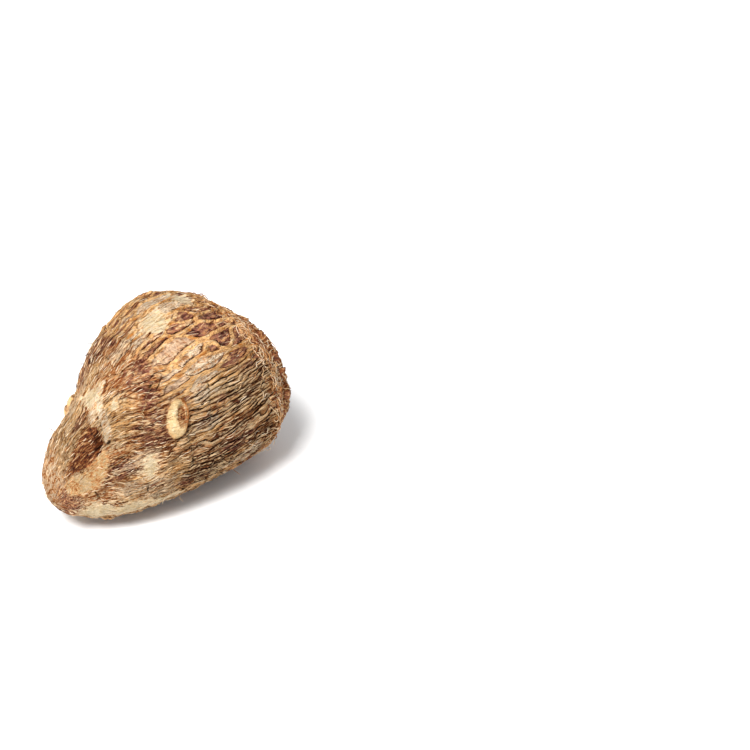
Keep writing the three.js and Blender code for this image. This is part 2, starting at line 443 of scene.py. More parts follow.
def cells(points, sizes, angle, seed):
    """Each lattice cube holds one random point, and every place belongs to the nearest one. Returns how
    far it is from the wall of its mesh, a random tone for that mesh, and which side of the corm the wall
    is on, from -1 to 1, near 0 for a wall across the grain. The distance to the wall between two points
    is the difference of the squares of their distances over twice the distance between the two, divided
    by how steeply that number changes over the skin."""
    table = np.random.default_rng(seed).uniform(0, 1, (LATTICE, LATTICE, LATTICE, 4))
    cube = np.floor(points).astype(int)

    def neighbours():
        """The random points of the cubes around, their tones, and the squares of their distances."""
        for away in itertools.product((-1, 0, 1), repeat=3):
            at = (cube + away) % LATTICE
            drawn = table[at[..., 0], at[..., 1], at[..., 2]]
            other = cube + away + drawn[..., :3]
            yield other, drawn[..., 3], ((points - other) ** 2).sum(axis=-1)

    nearest = np.full(points.shape[:2], 9.0)
    owner, tone = np.zeros_like(points), np.zeros(points.shape[:2])
    for other, other_tone, square in neighbours():
        closer = square < nearest
        nearest = np.where(closer, square, nearest)
        owner = np.where(closer[..., None], other, owner)
        tone = np.where(closer, other_tone, tone)
    from_wall, side = np.full(points.shape[:2], 99.0), np.zeros(points.shape[:2])
    for other, _, square in neighbours():
        apart = np.maximum(np.sqrt(((other - owner) ** 2).sum(axis=-1)), 1e-6)
        normal = (other - owner) / apart[..., None]
        round_slope = (normal[..., 1] * np.cos(angle) - normal[..., 0] * np.sin(angle)) / sizes[0]
        slope = np.maximum(np.hypot(round_slope, normal[..., 2] / sizes[2]), 0.02)
        wall = np.where(apart > 1e-5, (square - nearest) / (2 * apart * slope), 99)
        nearer = wall < from_wall
        from_wall = np.where(nearer, wall, from_wall)
        side = np.where(nearer, round_slope / slope, side)
    return from_wall, tone, side


MESH_WIDTH, MESH_LENGTH = 4.6, 18
mesh_sizes = (MESH_WIDTH, MESH_WIDTH, MESH_LENGTH)
bend = 0.1 * vectors(*(streaks(3, 7, seed) for seed in (222, 224, 226)))
net_turns = turns + wander + 0.3 * (sway - wander)
net_grain = grain_of(lengths, net_turns, radii)
from_net, mesh_tones, net_side = cells(net_grain / mesh_sizes + bend, mesh_sizes, net_turns, 220)
net_long = step(np.abs(net_side), 0.3, 0.75)
meshes, mesh_of = np.unique(mesh_tones, return_inverse=True)
mesh_of = mesh_of.ravel()


def mesh_mean(field):
    """A field's mean over each mesh, given back to all of the mesh's points: a mesh is flat in colour."""
    total = np.bincount(mesh_of, field.ravel())
    return (total / np.bincount(mesh_of))[mesh_of].reshape(field.shape)


mesh_flaked, mesh_purple = mesh_mean(flaked), mesh_mean(purple)
print("meshes of the net:", len(meshes))

# %% How deep the folds are, and where


def between(angle, start, stop, soft=12):
    """One between two turns in degrees, zero beyond them, with soft ends."""
    middle, half = (start + stop) / 2, (stop - start) / 2
    return 1 - step(np.abs(turned(angle, middle)), *np.radians([half - soft / 2, half + soft / 2]))


smooth_worn = step(np.maximum(cream, honeyed), 0.3, 0.6)
on_crown_half = step(rings + 3 * streaks(6, 12, 236), 60, 74)
upper_side = between(turns + 0.1 * streaks(6, 12, 238), -70, 50) + between(turns, 150, 262)
netted = on_crown_half * np.clip(upper_side, 0, 1) * (1 - step(rings, 115, 120)) * (1 - smooth_worn)
netted *= 1 - on_bud

wrinkled = 0.3 + 0.7 * on_crown_half
wrinkled += 0.6 * between(turns, 108, 170) * step(rings, 24, 50)
wrinkled = np.clip(wrinkled, 0, 1) * (1 - 0.9 * smooth_worn) * (1 - on_bud) * (1 - 0.85 * tip)
wrinkled = wrinkled * (1 - step(rings, 116, 122)) * (1 - 0.9 * netted)
opened = 0.25 + 0.75 * step(streaks(3.5, 18, 232), -0.9, -0.25)
fine_opened = step(streaks(3, 10, 234), -0.45, 0.15)
fold_depth = wrinkled * opened * (0.25 + 0.75 * step(width, 0.8, 1.7))
fine_depth = (0.3 + 0.7 * wrinkled) * (1 - 0.25 * netted) * fine_opened * (1 - 0.9 * smooth_worn)
fine_depth = fine_depth * (1 - on_bud) * (1 - crown) * (1 - 0.8 * tip)
plates = step(flaked + 0.3 * strips, 0.4, 0.6)
# Painted shade: the bark's tone is lowered on the lower side of the crown half.
soiled = between(turns + 0.15 * streaks(6, 14, 242), 108, 210, 20) * step(rings, 54, 76)
print("deeply folded share:", f"{(fold_depth > 0.5).mean():.0%}", "netted share:", f"{netted.mean():.0%}")

# %% [markdown]
# ## The fine relief
#
# Each groove, cord, plate and rim now becomes a height over the plain skin. A height is enough here: the
# skin has no overhangs, apart from the loose leaf bases and fibres, which are pieces of their own later.

# %% Relief of the folds


def shingle(count):
    """The back of a ridge from groove to groove: it rises steeply over the first third, as a root, and
    falls away slowly after it, as a parabola."""
    share = count - np.floor(count)
    rise = np.sqrt(np.clip(share / 0.3, 0, 1))
    fall = 1 - 0.75 * np.clip((share - 0.3) / 0.7, 0, 1) ** 2
    return rise * fall


FOLD_HEIGHT, GROOVE_DEPTH = 0.95, 0.35
FINE_HEIGHT, FINE_GROOVE_DEPTH = 0.5, 0.12
CORD_FOOT_DEPTH = 0.45  # the dark foot on the crown's side of a cord
fold_height = FOLD_HEIGHT * (shingle(folds) - 0.7) - GROOVE_DEPTH * bell(from_fold, 0.35)
fine_height = FINE_HEIGHT * (shingle(fine_folds) - 0.7) - FINE_GROOVE_DEPTH * bell(from_fine_fold, 0.3)
cord_height = (0.4 + 0.6 * net_long) * bell(from_net, 0.5)
cord_foot = CORD_FOOT_DEPTH * step(net_side, 0.1, 0.5) * bell(from_net - 0.85, 0.28)
fibre_height = (0.12 * streaks(1.4, 7, 280) + 0.09 * streaks(2.6, 3.4, 290)) * (1 - 0.8 * smooth_worn)
bark_height = fold_depth * fold_height + fine_depth * fine_height
bark_height += netted * (cord_height - cord_foot - 0.1)
bark_height = bark_height + 0.2 * plates * (1 - smooth_worn) + fibre_height * (1 - 0.8 * tip)

# %% Relief of the creases
# Old leaf edges left short creases, mostly round the corm. Each: ring and turn of one end, then the other.
CREASES = [
    (68, 68, 69, 92), (65, 68, 57, 77), (84.5, 50, 80, 69), (47, 90, 46, 112), (58, -30, 57, -14),
    (97, -46, 95, -30), (21, 66, 24, 84), (90, 104, 91, 134), (70, 142, 71, 190),
    (37, 13, 33.5, 33), (50, 184, 51, 222), (91, 205, 90, 246), (37, 246, 38, 280),
    (80, 276, 81, 306), (104, 266, 103, 304),
]
CREASE_DEPTH = 0.6


def to_segment(start_ring, start_turn, stop_ring, stop_turn):
    """Distance in millimetres to a straight line on the skin laid flat: the place along it is a dot
    product, held between its ends."""
    along, across = rings - start_ring, turned(turns, start_turn) * radii
    run, rise = stop_ring - start_ring, math.radians(stop_turn - start_turn) * radii
    share = np.clip((along * run + across * rise) / (run**2 + rise**2 + 1e-9), 0, 1)
    return np.hypot(along - share * run, across - share * rise)


from_crease = np.full_like(lengths, 9.0)
for ends in CREASES:
    from_crease = np.minimum(from_crease, to_segment(*ends))
from_crease = np.clip(from_crease + 0.3 * streaks(2.5, 3, 300), 0, 3)
crease_depth = (1 - smooth_worn) * (1 - on_bud) * (1 - crown)
crease_height = -CREASE_DEPTH * crease_depth * bell(from_crease, 0.75)

# %% Relief of the hollow and the pits
# The hollow deepens from the tip's side, and ends steeply in an arc under the lip.
HOLLOW_END = 33.5  # the ring of the arc's middle
across_hollow = turned(turns, HOLLOW[1]) * radii
hollow_end = HOLLOW_END - 0.06 * across_hollow**2 + 0.8 * streaks(2, 3, 350)
hollow = step(rings, 10, 22) * (1 - step(rings, hollow_end - 0.5, hollow_end + 0.5))
past_side = np.abs(across_hollow) + 1.2 * streaks(3, 6, 352) - (3 + 4.5 * step(rings, 14, 30))
hollow *= 1 - step(past_side, -1.5, 1)
# The part under the lip is deepened, and the colours paint it dark as shadow.
under_lip = hollow * step(rings, hollow_end - 8, hollow_end - 1) * bell(across_hollow - 3, 6)
hollow_height = hollow * (0.6 * streaks(1.1, 9, 358) - 1.5) - 0.8 * under_lip

# A pale ridge forks over the hollow's end, where the shoot's sheath was. Each arm: the ring and turn of
# its two ends, and how wide it is.
LIP_ARMS = [(40, 9, 35.5, 34, 1.3), (39, 3, 34.5, 8, 1.4), (41, 1, 47, -3, 1.0)]
LIP_HEIGHT = 0.55
from_lip = np.full_like(lengths, 9.0)
for *ends, wide in LIP_ARMS:
    from_lip = np.minimum(from_lip, to_segment(*ends) / wide)
from_lip = np.minimum(from_lip + 0.35 * streaks(2.2, 4, 355), 3)
lip = step(-from_lip, -1.5, -0.7)
hollow_height = hollow_height * (1 - lip) + LIP_HEIGHT * lip

# Small pits, where a root or an insect went in. Each: ring, turn, size.
PITS = [
    (35, 38, 1.1), (61, 29, 1.0), (47, -38, 1.2), (58, 118, 1.6), (86, 172, 1.8), (33, 196, 1.5),
    (69, 228, 1.4), (96, 262, 1.6), (52, 300, 1.3), (74, 312, 1.1), (24, 268, 1.4), (104, 96, 1.3),
]
pits = strongest_of([(ring, degrees, size, size / 1.5) for ring, degrees, size in PITS])
pit_height = -1.1 * step(pits, 0.2, 0.9)

# %% Relief of the tip and the crown
tip_height = tip * (0.3 * noise(plain / 2.2, 360) + 0.16 * noise(plain / 1.2, 361) - 0.1)

# Old sheaths are stacked from the rim to the stump. Each thickens to its torn free edge, on the crown's
# side, and drops from there to the next one. Their edges are counted off as the folds' grooves are.
FIRST_SHEATH, SHEATH_STEP = 118, 6.4
ragged_edge = 0.26 * streaks(4.5, 50, 382) + 0.09 * streaks(1.1, 30, 384)
sheaths = (rings - FIRST_SHEATH) / SHEATH_STEP + ragged_edge
sheath_tones = noise(vectors(np.floor(sheaths) * 5.3, turns * 2.2, 0.0), 386)
on_sheath = sheaths - np.floor(sheaths)
crown_height = crown * (0.4 * streaks(1.8, 16, 370) + 1.3 * on_sheath**1.6 - 0.5)

# The cut stump shows the leaf bases edge on, wound round each other in a spiral.
CUT_RADIUS, ARC_STEP = 12, 3.4
from_crown = SKIN_LENGTH - lengths
cut = 1 - step(from_crown + 1.1 * streaks(7, 8, 390), CUT_RADIUS - 0.5, CUT_RADIUS + 0.5)
spiral = from_crown / ARC_STEP + turns / (2 * np.pi) + 0.13 * streaks(6, 8, 392)
from_arc = np.abs(spiral - np.round(spiral)) * ARC_STEP
cut_height = cut * (0.6 * (spiral - np.floor(spiral)) - 0.5 * bell(from_arc, 0.5))
crown_height = crown_height * (1 - cut) + cut_height
band = bell(rings - 119 + 1.5 * streaks(4, 6, 396), 4)

fine_relief = bark_height * (1 - on_bud) * (1 - 0.7 * crown) + crease_height - 0.2 * smooth_worn
fine_relief = fine_relief + bud_height + hollow_height + pit_height + tip_height + crown_height

corm_points = skin(plain_relief() + fine_relief) + to_frame
corm_points[..., 2] = np.maximum(corm_points[..., 2], 0)
print("fine relief from", fine_relief.min().round(2), "to", fine_relief.max().round(2), "mm")

# %% [markdown]
# ## The skin as a mesh
#
# The grid becomes one closed mesh: four-sided faces between the rows, and a fan of triangles at each end.
# The numbers that the colours need ride on its vertices as attributes, because a colour worked out from
# the same groove lines as the shape can't slip off them.

# %% Closed grid to mesh


def between_ends(field):
    """Flattens a grid's field for the mesh: one value at the tip, every row between, one at the crown."""
    inner = field[1:-1].reshape(-1, *field.shape[2:])
    return np.concatenate([field[:1, 0], inner, field[-1:, 0]])


def closed_grid_faces(rows, columns):
    """The faces of a skin or a tube: four corners a face between neighbouring rows, going round so that
    the faces look outwards, and a fan of three corners a face at each end."""
    row, column = np.meshgrid(np.arange(rows - 2), np.arange(columns), indexing="ij")
    here, beside = 1 + row * columns + column, 1 + row * columns + (column + 1) % columns
    quads = vectors(here, beside, beside + columns, here + columns).reshape(-1, 4)
    first, following = 1 + np.arange(columns), 1 + (np.arange(columns) + 1) % columns
    last_row, last_point = (rows - 2) * columns, 1 + (rows - 1) * columns
    end_fan = vectors(last_point, last_row + first, last_row + following)
    return quads, np.vstack([vectors(0, following, first), end_fan])


def new_piece(name, points, face_groups, fields=None, smooth=True):
    """A mesh object from an array of points in millimetres and arrays of faces, with named numbers or
    vectors on its vertices."""
    mesh = bpy.data.meshes.new(name)
    corners = np.concatenate([faces.ravel() for faces in face_groups])
    sizes = np.concatenate([np.full(len(faces), faces.shape[1]) for faces in face_groups])
    mesh.vertices.add(len(points))
    mesh.vertices.foreach_set("co", (points * METRES).astype(np.float32).ravel())
    mesh.loops.add(len(corners))
    mesh.loops.foreach_set("vertex_index", corners.astype(np.int32))
    mesh.polygons.add(len(sizes))
    mesh.polygons.foreach_set("loop_start", (np.cumsum(sizes) - sizes).astype(np.int32))
    mesh.polygons.foreach_set("use_smooth", np.full(len(sizes), smooth))
    mesh.update(calc_edges=True)
    for field_name, values in (fields or {}).items():
        vector = values.ndim == 2
        layer = mesh.attributes.new(field_name, "FLOAT_VECTOR" if vector else "FLOAT", "POINT")
        layer.data.foreach_set("vector" if vector else "value", values.astype(np.float32).ravel())
    mesh.validate()
    piece = bpy.data.objects.new(name, mesh)
    bpy.context.collection.objects.link(piece)
    print(name, "has", sum((size - 2) * (sizes == size).sum() for size in (3, 4)), "triangles")
    return piece


# %% The corm


def on_circle(count, third):
    """A count as a point on a circle, and as a third number the depth or the tone there: a circle has no
    jump where a count starts again, so it can be blended from vertex to vertex."""
    angle = 2 * np.pi * count
    return vectors(np.cos(angle), np.sin(angle), third)


skin_fields = {
    **patched,
    "grain": grain, "wrinkled": wrinkled, "crown": crown, "tip": tip, "soiled": soiled, "band": band,
    "folds": on_circle(folds, fold_depth), "fold_width": width, "strips": strips,
    "fine_folds": on_circle(fine_folds, fine_depth), "fine_width": fine_width, "fine_tones": fine_tones,
    "netted": netted, "from_net": np.minimum(from_net, 4), "net_side": net_side * bell(from_net, 1.6),
    "net_long": net_long, "mesh_tones": mesh_tones, "mesh_flaked": mesh_flaked,
    "mesh_purple": mesh_purple, "from_crease": from_crease, "crease_depth": crease_depth,
    "bud": np.clip(bud_place, -3, 3), "hollow": hollow * (1 - lip), "under_lip": under_lip * (1 - lip),
    "from_lip": from_lip, "pits": pits, "sheaths": on_circle(sheaths, sheath_tones), "cut": cut,
    "from_arc": from_arc,
}
corm = new_piece(
    "corm_skin",
    between_ends(corm_points),
    closed_grid_faces(ROWS, COLUMNS),
    {name: between_ends(field) for name, field in skin_fields.items()},
)
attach(corm, "root")
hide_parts(NODE)

# %% [markdown]
# ## Mixing paint with sums
#
# A material is a graph of nodes, and a long one is hard to read. Here a socket is wrapped in a small class
# with plus, minus, times and divided by on it, so a mask can be written as a sum and its nodes appear by
# themselves. Colours go through Mix nodes, which keep all three channels.

# %% Sums of sockets


class Value:
    """A number or colour that varies over a surface. A sum of values adds its Math nodes."""

    def __init__(self, paint, socket):
        self.paint = paint
        self.socket = socket

    def __add__(self, other):
        return self.paint.math("ADD", self, other)

    def __sub__(self, other):
        return self.paint.math("SUBTRACT", self, other)

    def __rsub__(self, other):
        return self.paint.math("SUBTRACT", other, self)

    def __mul__(self, other):
        return self.paint.math("MULTIPLY", self, other)

    def __truediv__(self, other):
        return self.paint.math("DIVIDE", self, other)

    def __abs__(self):
        return self.paint.math("ABSOLUTE", self)

    __radd__ = __add__
    __rmul__ = __mul__


class Paint:
    """A material under construction: a method for each kind of value that a finish needs."""

    def __init__(self, name):
        self.material = bpy.data.materials.new(name)
        self.material.use_nodes = True
        self.tree = self.material.node_tree
        self.tree.nodes.clear()
        self.skin = None

    def node(self, kind, settings=None, sockets=None, output=0):
        """Any node: its type, its settings, its sockets' values or links by name or number, and which
        output is wanted."""
        made = self.tree.nodes.new(kind)
        for name, setting in (settings or {}).items():
            setattr(made, name, setting)
        for name, value in (sockets or {}).items():
            if isinstance(value, Value):
                self.tree.links.new(value.socket, made.inputs[name])
            else:
                made.inputs[name].default_value = value
        return Value(self, made.outputs[output]) if made.outputs else None

    def math(self, operation, first, second=0.0):
        return self.node("ShaderNodeMath", {"operation": operation}, {0: first, 1: second})

    def number(self, name):
        return self.node("ShaderNodeAttribute", {"attribute_name": name}, output="Fac")

    def vector(self, name):
        return self.node("ShaderNodeAttribute", {"attribute_name": name}, output="Vector")

    def hypotenuse(self, first, second):
        return self.math("SQRT", first * first + second * second)

    def parts(self, vector):
        """The three numbers of a vector."""
        split = self.node("ShaderNodeSeparateXYZ", {}, {0: vector})
        return [Value(self, socket) for socket in split.socket.node.outputs]

    def fold(self, circle, width):
        """A point on a circle turned back into a distance past the nearest groove or edge, less than none
        before it: the angle as a share of the circle, times the fold's width. The third number stays."""
        east, north, third = self.parts(circle)
        return self.math("ARCTAN2", north, east) * (1 / (2 * math.pi)) * width, third

    def ease(self, value, low, high):
        """Zero at low, one at high, smooth in between. Low may be the larger."""
        sockets = {"Value": value, "From Min": low, "From Max": high}
        return self.node("ShaderNodeMapRange", {"interpolation_type": "SMOOTHSTEP"}, sockets)

    def mix(self, share, first, second):
        """A colour that goes from the first to the second as the share goes from 0 to 1."""
        return self.node("ShaderNodeMix", {"data_type": "RGBA"}, {0: share, 6: first, 7: second}, output=2)

    def coat(self, share, colour):
        """Paints a colour over the skin's colour so far, as thickly as the share says."""
        self.skin = self.mix(share, self.skin, colour)

    def grainy(
        self, place, across, along, low, high, detail=3.0, roughness=0.55, distortion=0.0, offset=0.0
    ):
        """Noise with features of that many millimetres across the grain and along it, spread out so that
        it is zero at low and one at high."""
        sockets = {0: place, 1: (1 / across, 1 / across, 1 / along), 2: (offset, offset, offset)}
        place = self.node("ShaderNodeVectorMath", {"operation": "MULTIPLY_ADD"}, sockets)
        sockets = {"Vector": place, "Scale": 1.0, "Detail": detail, "Roughness": roughness}
        noise = self.node("ShaderNodeTexNoise", {}, {**sockets, "Distortion": distortion})
        return self.ease(noise, low, high)

    def ramp(self, share, *stops):
        """A colour ramp: each stop is a place from 0 to 1 and a colour."""
        result = self.node("ShaderNodeValToRGB", {}, {"Fac": share})
        elements = result.socket.node.color_ramp.elements
        elements.remove(elements[1])
        elements[0].position, elements[0].color = stops[0]
        for place, colour in stops[1:]:
            elements.new(place).color = colour
        return result

    def finish(self, colour, roughness, relief, distance, gloss):
        """The surface shader, with a bump from a relief of so many millimetres at full height. Gloss is
        the strength of its mirror reflection, from 0 to 1."""
        bump = {"Height": relief, "Distance": distance * METRES, "Strength": 1.0}
        sockets = {"Base Color": colour, "Roughness": roughness, "Specular IOR Level": gloss}
        sockets["Normal"] = self.node("ShaderNodeBump", {}, bump)
        shader = self.node("ShaderNodeBsdfPrincipled", {}, sockets)
        self.node("ShaderNodeOutputMaterial", {}, {"Surface": shader})
        return self.material


# %% The palette


def tint(red, green, blue):
    """A colour given as it looks on a screen, 0 to 255, turned into amounts of light."""
    screen = np.array([red, green, blue]) / 255
    light = np.where(screen < 0.04045, screen / 12.92, ((screen + 0.055) / 1.055) ** 2.4)
    return (*light.tolist(), 1.0)


# The darkest colour: the bark's own darkest brown, and painted shade in grooves, creases and pits.
SOIL_AND_SHADE, UMBER, BARK = tint(30, 8, 1), tint(96, 42, 16), tint(140, 84, 40)
TAN, GOLD, STRAW = tint(190, 134, 86), tint(210, 160, 106), tint(221, 188, 146)
AMBER, BRIGHT = tint(176, 112, 52), tint(232, 180, 118)
RUST, RED_BARK = tint(172, 100, 56), tint(122, 62, 34)
PLUM, MAUVE = tint(96, 54, 46), tint(148, 98, 78)
HONEY, BUTTER, CREAM = tint(188, 158, 112), tint(200, 174, 132), tint(209, 190, 157)
ASH, FLAKE, WHITISH = tint(196, 168, 136), tint(216, 186, 152), tint(226, 205, 177)

# %% [markdown]
# ## The skin's finish
#
# Up close the skin is layers of old leaf-base fibre: golden ridges between almost black grooves, purple
# brown where the fibre is young, speckled white where the outer cork flakes, and smooth cream where it has
# rubbed away. One colour for each layer, mixed by the same fields that shaped the surface, gives them
# edges that agree with the relief. Fine stretched noise adds the fibres that are too small to model.

# %% Layers of the skin


def skin_material():
    """Every layer in turn is painted over the ones before it, as far as its own mask says."""
    paint = Paint("corm_skin")
    vector_fields = {"grain", "folds", "fine_folds", "sheaths", "bud"}
    field = {name: paint.number(name) for name in sorted(set(skin_fields) - vector_fields)}
    grain = paint.vector("grain")
    ease, grainy, mix, ramp, coat = paint.ease, paint.grainy, paint.mix, paint.ramp, paint.coat

    # Noise of the fibres, from broad to fine, and crumbs and clumps that have no grain.
    broad = grainy(grain, 6, 14, 0.3, 0.7)
    fibres = grainy(grain, 1.0, 9, 0.39, 0.61, detail=4, roughness=0.7, distortion=0.05)
    hairs = grainy(grain, 0.58, 4.6, 0.4, 0.6, roughness=0.62, distortion=0.05)
    flecks = grainy(grain, 0.7, 1.1, 0.32, 0.68, detail=2, roughness=0.5)
    blots = grainy(grain, 2.3, 3.4, 0.3, 0.7, roughness=0.6)
    place = paint.node("ShaderNodeTexCoord", output="Object")
    crumbs = grainy(place, 0.9 * METRES, 0.9 * METRES, 0.34, 0.66, roughness=0.6)
    clumps = grainy(place, 3.2 * METRES, 3.2 * METRES, 0.32, 0.68, roughness=0.6)
    uneven = 0.5 * fibres + 0.3 * hairs + 0.2 * flecks
    fine_tone = field["fine_tones"] * 0.7 + 0.5

    # Distances past the grooves, in millimetres, and how deep the grooves are.
    past_fold, fold_depth = paint.fold(paint.vector("folds"), field["fold_width"])
    past_fine, fine_depth = paint.fold(paint.vector("fine_folds"), field["fine_width"])
    # Painted highlight: a pale band on the side of each fold and each fine fold that faces the light.
    fold_highlight = ease(past_fold, 0.2, 0.5) * ease(past_fold, 1.3, 0.7) * fold_depth
    fine_fold_highlight = ease(past_fine, 0.1, 0.3) * ease(past_fine, 0.85, 0.45) * fine_depth
    line_wander = 0.5 * hairs + 0.5 * flecks

    # The plain bark: brown to gold, each strip between two grooves with its own tone, and paler on the lit
    # side of each fold as a painted highlight. Parts of it are rust brown, golden or purple.
    tone = 0.12 * broad + 0.3 * fibres + 0.31 * hairs + 0.14 * flecks + 0.14 * field["strips"] - 0.04
    # Painted shade: the tone is lowered on the lower side of the crown half.
    tone = tone + 0.32 * fine_tone + 0.3 * fold_highlight + 0.26 * fine_fold_highlight - 0.1 * field["soiled"]
    rust = ramp(tone, (0.12, UMBER), (0.4, RUST), (0.62, TAN), (0.92, STRAW))
    gold = ramp(
        tone + 0.2, (0.12, SOIL_AND_SHADE), (0.25, UMBER), (0.38, AMBER), (0.55, GOLD), (0.75, BRIGHT), (1, STRAW)
    )
    plum = ramp(tone, (0.14, SOIL_AND_SHADE), (0.38, PLUM), (0.6, MAUVE), (0.76, TAN), (0.98, STRAW))
    rusty = ease(field["rusty"] + 0.4 * (blots - 0.5), 0.3, 0.7) * (1 - field["netted"])
    in_gold = ease(field["golden"] + 0.3 * (uneven - 0.5), 0.12, 0.5)
    purple_here = field["purple"] + 0.4 * (uneven - 0.5) - 0.4 * (fine_tone - 0.5)
    paint.skin = ramp(
        tone, (0.12, SOIL_AND_SHADE), (0.27, UMBER), (0.42, BARK), (0.57, TAN), (0.74, GOLD), (1, STRAW)
    )
    coat(rusty * 0.65, rust)
    coat(in_gold * 0.85, gold)
    coat(ease(purple_here, 0.36, 0.62) * 0.9, plum)

    # Speckled flakes of cork, a strip at a time.
    flake_tone = 0.35 * flecks + 0.3 * fibres + 0.2 * hairs + 0.15 * fine_tone
    flake = ramp(flake_tone, (0.02, BARK), (0.2, TAN), (0.42, FLAKE), (0.8, WHITISH))
    flake_here = field["flaked"] + 0.3 * field["strips"] + 0.3 * (uneven - 0.5) + 0.25 * (fine_tone - 0.5)
    whole = 0.5 + 0.4 * ease(field["wrinkled"], 0.35, 0.8)
    coat(ease(flake_here, 0.45, 0.6) * whole, flake)

    # The net: each mesh is gold, purple, white or brown as a whole, inside its cord with a painted shadow
    # at its foot.
    mesh_tone = field["mesh_tones"]
    mesh_white = ease(field["mesh_flaked"] - 0.4 * (mesh_tone - 0.5), 0.28, 0.38)
    mesh_plum = ease(field["mesh_purple"] + 0.4 * (mesh_tone - 0.4), 0.16, 0.28)
    inside_tone = 0.3 * fibres + 0.35 * hairs + 0.2 * mesh_tone + 0.1 * flecks + 0.2 * fine_fold_highlight
    inside = ramp(inside_tone, (0.08, SOIL_AND_SHADE), (0.26, UMBER), (0.5, BARK), (0.72, TAN), (0.95, GOLD))
    dark = ramp(inside_tone, (0.1, SOIL_AND_SHADE), (0.26, PLUM), (0.5, MAUVE), (0.72, TAN), (0.95, STRAW))
    inside = mix(in_gold * 0.8, inside, gold)
    inside = mix(mesh_white, mix(mesh_plum, inside, dark), flake)
    from_cord = field["from_net"] + 0.35 * (hairs - 0.5)
    # Painted shadow at the foot of each cord, stronger on one side of it.
    foot = ease(from_cord, 1.3, 0.95) * (0.25 + 0.75 * ease(field["net_side"], 0.0, 0.2))
    inside = mix(foot * 0.95, inside, mix(hairs, SOIL_AND_SHADE, UMBER))
    cord_tone = 0.5 * fibres + 0.5 * hairs
    cord = ramp(cord_tone, (0.05, AMBER), (0.3, GOLD), (0.6, BRIGHT), (0.95, STRAW))
    on_cord = ease(from_cord, 0.85, 0.6) * (0.55 + 0.45 * field["net_long"])
    coat(ease(field["netted"], 0.3, 0.7), mix(on_cord * 0.92, inside, cord))

    # Short ends of fibre, dark ones and then pale ones, which are fewer on the net.
    dark_end = grainy(grain, 0.6, 3.2, 0.56, 0.64, detail=2, roughness=0.5, offset=23)
    dark_end *= ease(broad, 0.05, 0.5)
    coat(dark_end * (0.85 - 0.55 * field["netted"]), mix(0.6 * blots, UMBER, PLUM))
    pale_end = grainy(grain, 0.58, 2.6, 0.55, 0.63, detail=2, roughness=0.5, offset=11)
    pale_end *= ease(blots, 0.1, 0.55)
    coat(pale_end * (0.66 - 0.45 * field["netted"]), STRAW)

    # The tip's ash-coloured cork, which has no grain.
    ash_tone = 0.35 * crumbs + 0.35 * clumps + 0.3 * blots - 0.04
    ash = ramp(ash_tone, (0.14, UMBER), (0.28, BARK), (0.42, TAN), (0.56, ASH), (0.9, FLAKE))
    coat(field["tip"] * (1 - ease(purple_here, 0.3, 0.55)), ash)

    # The tangled band at the shoulder, and the sheaths behind it: painted shadow where one comes out from
    # under the one before, streaked brown, and pale at its torn edge.
    tangle = grainy(grain, 3.2, 0.8, 0.36, 0.64, roughness=0.6, distortion=1.2)
    band_tone = 0.6 * tangle + 0.4 * crumbs
    band = ramp(band_tone, (0.15, SOIL_AND_SHADE), (0.38, RED_BARK), (0.6, AMBER), (0.9, BRIGHT))
    coat(ease(field["band"] + 0.4 * (tangle - 0.5), 0.3, 0.6) * 0.85, band)
    past_edge, sheath_tone = paint.fold(paint.vector("sheaths"), SHEATH_STEP)
    past_edge += 0.5 * (hairs - 0.5)
    dry_edge = ease(past_edge, -1.8, -0.2) * ease(past_edge, 0.15, -0.1)
    shade_under_sheath = ease(past_edge, -0.1, 0.15) * ease(past_edge, 1.7, 0.4)
    sheath_tone = 0.1 + 0.4 * fibres + 0.3 * hairs + 0.12 * sheath_tone + 0.1 * broad + 0.24 * dry_edge
    sheath = ramp(
        sheath_tone, (0.1, SOIL_AND_SHADE), (0.24, UMBER), (0.38, RED_BARK), (0.52, BARK), (0.68, TAN), (0.9, STRAW)
    )
    torn = ease(field["crown"] + 0.5 * (uneven - 0.5), 0.3, 0.6)
    coat(torn * 0.95, mix(shade_under_sheath * 0.9, sheath, SOIL_AND_SHADE))

    # Grooves, fine fold lines and creases: painted shade, near black in the bottom of each,
    # and brown up the side of a fold that is turned away from the light.
    beside = ease(past_fold, -1.0, -0.25) * ease(past_fold, 0.4, 0.1) * fold_depth
    coat(beside * (0.85 - 0.6 * in_gold), mix(0.8 * fibres, SOIL_AND_SHADE, RED_BARK))
    not_worn = 1 - ease(paint.math("MAXIMUM", field["cream"], field["honeyed"]), 0.3, 0.55)
    # Painted shade along the fine fold lines.
    fine_groove_shade = ease(abs(past_fine) + 0.25 * line_wander, 0.5, 0.2) * fine_depth
    coat(fine_groove_shade * 0.95 * not_worn, mix(0.15 + 0.7 * broad, SOIL_AND_SHADE, UMBER))
    # Painted shade in the bottom of the grooves and creases.
    groove_shade = ease(abs(past_fold) + 0.3 * line_wander, 0.52, 0.28) * ease(fold_depth, 0.1, 0.5)
    groove_shade *= 0.55 + 0.45 * grainy(grain, 2.4, 7, 0.42, 0.55, offset=31)
    crease_shade = ease(field["from_crease"] + 0.3 * line_wander, 0.6, 0.3) * field["crease_depth"]
    crease_shade *= ease(broad, 0.1, 0.4)
    coat(paint.math("MAXIMUM", groove_shade * 0.97, crease_shade * 0.85), SOIL_AND_SHADE)

